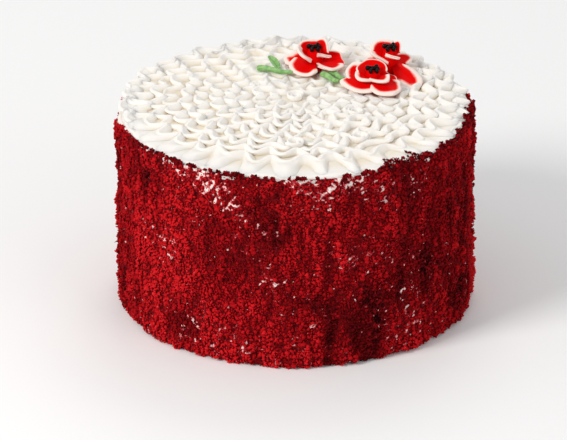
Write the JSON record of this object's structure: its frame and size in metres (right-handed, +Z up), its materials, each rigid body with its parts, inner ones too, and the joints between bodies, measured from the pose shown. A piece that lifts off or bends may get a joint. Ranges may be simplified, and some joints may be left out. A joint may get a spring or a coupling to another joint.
{
  "type": "red velvet cake",
  "caption": "Tall round cake coated in red crumbs, with a ruffled white icing top and piped red poppies on green stems.",
  "frame": {"origin": "middle of the cake's flat underside, on the surface it stands on", "axes": "+Z up, +X to the right and +Y to the back as seen from the side that the poppies face"},
  "size_m": [0.206, 0.2054, 0.1378],
  "materials": {
    "crumb_coat": "dry crumbs of red sponge",
    "white_icing": "soft whipped icing",
    "red_icing": "smooth piped icing with pale edges",
    "green_icing": "smooth piped icing"
  },
  "bodies": {
    "root": {"cake_body": "crumb_coat", "icing_top": "white_icing", "poppy_left": "red_icing", "poppy_front": "red_icing", "poppy_back": "red_icing", "stem_left": "green_icing", "stem_right": "green_icing", "stem_upper": "green_icing", "leaf_left": "green_icing"}
  },
  "joints": []
}
